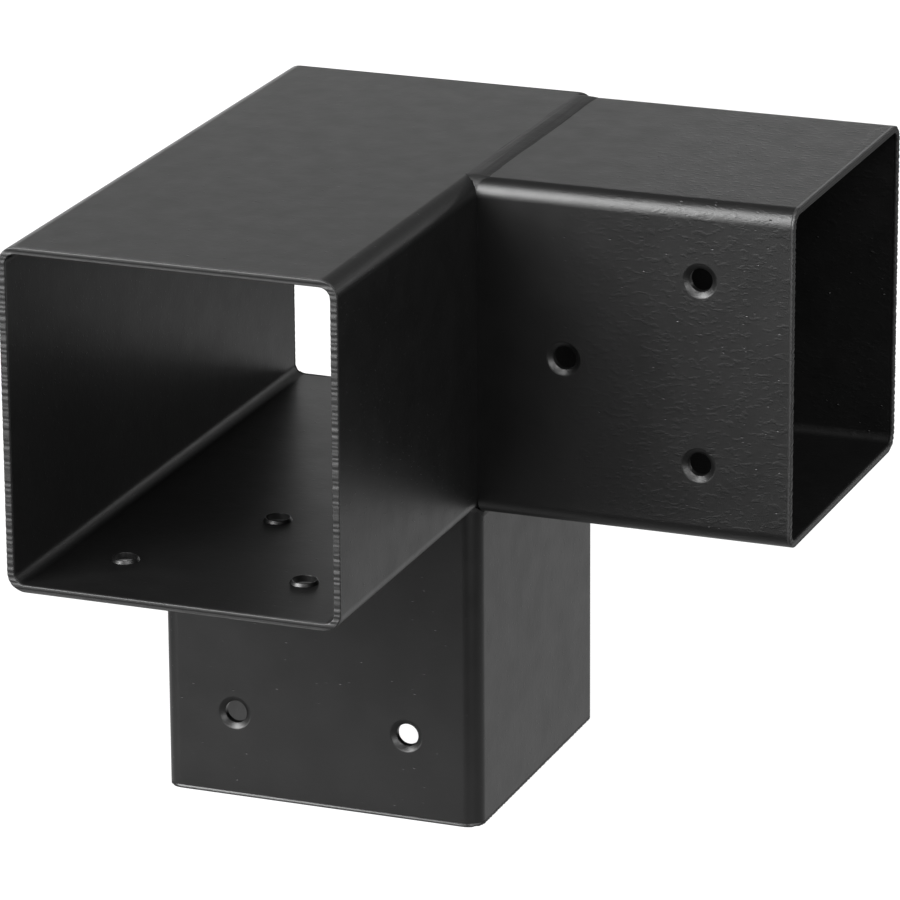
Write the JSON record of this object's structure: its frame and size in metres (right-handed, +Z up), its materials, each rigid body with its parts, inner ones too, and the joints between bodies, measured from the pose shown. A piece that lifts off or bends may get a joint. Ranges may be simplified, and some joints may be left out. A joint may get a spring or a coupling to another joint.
{
  "type": "three way corner connector",
  "caption": "Welded square tube bracket that joins a post and beams at a corner: a through socket, a side arm and a down leg, each with wood screw holes.",
  "frame": {"origin": "middle of the down leg's open mouth, in the plane of its saw-cut end", "axes": "+Z up along the leg towards the corner; +X along the side arm, out of its mouth; the through tube runs along Y, its long end towards -Y"},
  "size_m": [0.1858, 0.1959, 0.1889],
  "materials": {
    "powder_coated_tube": "black powder coat, semi-gloss with fine orange peel, on mild steel square tube",
    "powder_coated_weld": "black powder coat over a weld bead"
  },
  "bodies": {
    "root": {"through_tube": "powder_coated_tube", "side_arm": "powder_coated_tube", "down_leg": "powder_coated_tube", "side_arm_weld": "powder_coated_weld", "leg_weld": "powder_coated_weld"}
  },
  "joints": []
}
